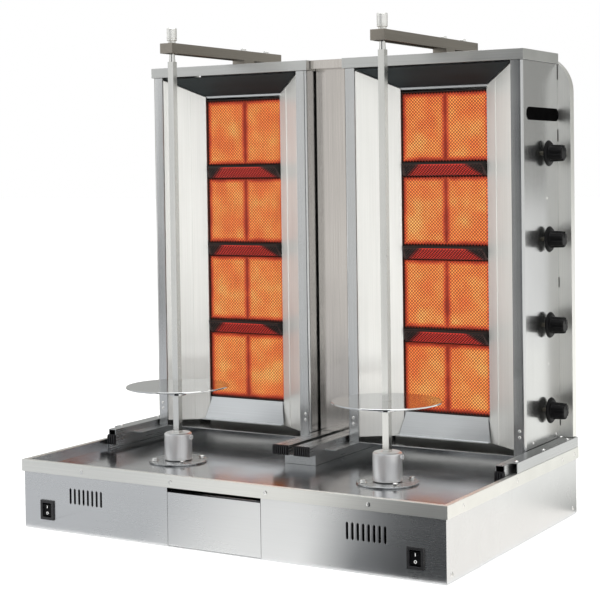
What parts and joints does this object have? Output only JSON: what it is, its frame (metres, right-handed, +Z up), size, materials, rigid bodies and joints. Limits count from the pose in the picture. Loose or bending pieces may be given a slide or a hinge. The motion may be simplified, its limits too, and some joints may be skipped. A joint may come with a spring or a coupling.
{
  "type": "vertical rotisserie broiler",
  "caption": "Twin gas vertical broiler: sliding burner towers with wings, hood and gas knobs, driven spits with discs, drip pan, drip drawer and rocker switches.",
  "frame": {"origin": "under the middle of the base, on the surface it stands on", "axes": "+Z up, +Y towards the back, -Y is the front where the spits stand, +X to the right seen from the front"},
  "size_m": [0.936, 0.608, 0.973],
  "materials": {
    "satin_steel": "satin, fine vertical or horizontal grain",
    "polished_steel": "bright polished",
    "pan_steel": "brushed, darkened by heat",
    "hood_steel": "heat-darkened",
    "black_plastic": "satin black",
    "motor_paint": "grey paint",
    "brass_fittings": "dull",
    "burner": "ceramic plates in a steel box, glowing when lit"
  },
  "bodies": {
    "base": {"base_shell": "satin_steel", "base_floor": "satin_steel", "drip_pan": "pan_steel", "centre_beam": "satin_steel", "rail_left": "satin_steel", "rail_right": "satin_steel", "infill_panel": "pan_steel", "cable_gland": "black_plastic", "gear_motor_left": "motor_paint", "bearing_flange_left": "satin_steel", "switch_body_left": "black_plastic", "gear_motor_right": "motor_paint", "bearing_flange_right": "satin_steel", "switch_body_right": "black_plastic"},
    "drawer": {"drawer_front": "satin_steel", "drawer_tray": "satin_steel"},
    "spit_left": {"drive_cup_left": "polished_steel", "spit_rod_left": "polished_steel"},
    "disc_left": {"spit_disc_left": "polished_steel"},
    "nut_left": {"spit_nut_left": "polished_steel"},
    "tower_left": {"tower_shell_left": "satin_steel", "tower_cap_left": "satin_steel", "back_cover_left": "satin_steel", "wing_outer_left": "satin_steel", "wing_inner_left": "satin_steel", "hood_left": "hood_steel", "burner_frame_left": "satin_steel", "gas_manifold_left": "brass_fittings", "top_arm_left": "satin_steel", "burner_left_1": "burner", "burner_left_2": "burner", "burner_left_3": "burner", "burner_left_4": "burner"},
    "rocker_left": {"switch_rocker_left": "black_plastic"},
    "gas_knob_left_1": {"knob_left_1": "black_plastic"},
    "gas_knob_left_2": {"knob_left_2": "black_plastic"},
    "gas_knob_left_3": {"knob_left_3": "black_plastic"},
    "gas_knob_left_4": {"knob_left_4": "black_plastic"},
    "spit_right": {"drive_cup_right": "polished_steel", "spit_rod_right": "polished_steel"},
    "disc_right": {"spit_disc_right": "polished_steel"},
    "nut_right": {"spit_nut_right": "polished_steel"},
    "tower_right": {"tower_shell_right": "satin_steel", "tower_cap_right": "satin_steel", "back_cover_right": "satin_steel", "wing_outer_right": "satin_steel", "wing_inner_right": "satin_steel", "hood_right": "hood_steel", "burner_frame_right": "satin_steel", "gas_manifold_right": "brass_fittings", "top_arm_right": "satin_steel", "burner_right_1": "burner", "burner_right_2": "burner", "burner_right_3": "burner", "burner_right_4": "burner"},
    "rocker_right": {"switch_rocker_right": "black_plastic"},
    "gas_knob_right_1": {"knob_right_1": "black_plastic"},
    "gas_knob_right_2": {"knob_right_2": "black_plastic"},
    "gas_knob_right_3": {"knob_right_3": "black_plastic"},
    "gas_knob_right_4": {"knob_right_4": "black_plastic"}
  },
  "joints": [
    {"name": "drawer_slide", "type": "slide", "parent": "base", "child": "drawer", "axis": [0, -1, 0], "range_m": [0, 0.42]},
    {"name": "spit_spin_left", "type": "hinge", "parent": "base", "child": "spit_left", "pos_m": [-0.235, -0.09, 0.14], "axis": [0, 0, 1], "continuous": true},
    {"name": "disc_height_left", "type": "slide", "parent": "spit_left", "child": "disc_left", "axis": [0, 0, 1], "range_m": [-0.07, 0.4]},
    {"name": "nut_lift_left", "type": "slide", "parent": "spit_left", "child": "nut_left", "axis": [0, 0, 1], "range_m": [0, 0.02]},
    {"name": "tower_slide_left", "type": "slide", "parent": "base", "child": "tower_left", "axis": [0, -1, 0], "range_m": [0, 0.06]},
    {"name": "rocker_tilt_left", "type": "hinge", "parent": "base", "child": "rocker_left", "pos_m": [-0.396, -0.292, 0.039], "axis": [1, 0, 0], "range_deg": [0, 12]},
    {"name": "gas_turn_left_1", "type": "hinge", "parent": "tower_left", "child": "gas_knob_left_1", "pos_m": [-0.44, 0.212, 0.2165], "axis": [-1, 0, 0], "range_deg": [0, 180]},
    {"name": "gas_turn_left_2", "type": "hinge", "parent": "tower_left", "child": "gas_knob_left_2", "pos_m": [-0.44, 0.212, 0.3825], "axis": [-1, 0, 0], "range_deg": [0, 180]},
    {"name": "gas_turn_left_3", "type": "hinge", "parent": "tower_left", "child": "gas_knob_left_3", "pos_m": [-0.44, 0.212, 0.5485], "axis": [-1, 0, 0], "range_deg": [0, 180]},
    {"name": "gas_turn_left_4", "type": "hinge", "parent": "tower_left", "child": "gas_knob_left_4", "pos_m": [-0.44, 0.212, 0.7145], "axis": [-1, 0, 0], "range_deg": [0, 180]},
    {"name": "spit_spin_right", "type": "hinge", "parent": "base", "child": "spit_right", "pos_m": [0.235, -0.09, 0.14], "axis": [0, 0, 1], "continuous": true},
    {"name": "disc_height_right", "type": "slide", "parent": "spit_right", "child": "disc_right", "axis": [0, 0, 1], "range_m": [-0.07, 0.4]},
    {"name": "nut_lift_right", "type": "slide", "parent": "spit_right", "child": "nut_right", "axis": [0, 0, 1], "range_m": [0, 0.02]},
    {"name": "tower_slide_right", "type": "slide", "parent": "base", "child": "tower_right", "axis": [0, -1, 0], "range_m": [0, 0.06]},
    {"name": "rocker_tilt_right", "type": "hinge", "parent": "base", "child": "rocker_right", "pos_m": [0.396, -0.292, 0.039], "axis": [1, 0, 0], "range_deg": [0, 12]},
    {"name": "gas_turn_right_1", "type": "hinge", "parent": "tower_right", "child": "gas_knob_right_1", "pos_m": [0.44, 0.212, 0.2165], "axis": [1, 0, 0], "range_deg": [0, 180]},
    {"name": "gas_turn_right_2", "type": "hinge", "parent": "tower_right", "child": "gas_knob_right_2", "pos_m": [0.44, 0.212, 0.3825], "axis": [1, 0, 0], "range_deg": [0, 180]},
    {"name": "gas_turn_right_3", "type": "hinge", "parent": "tower_right", "child": "gas_knob_right_3", "pos_m": [0.44, 0.212, 0.5485], "axis": [1, 0, 0], "range_deg": [0, 180]},
    {"name": "gas_turn_right_4", "type": "hinge", "parent": "tower_right", "child": "gas_knob_right_4", "pos_m": [0.44, 0.212, 0.7145], "axis": [1, 0, 0], "range_deg": [0, 180]}
  ]
}
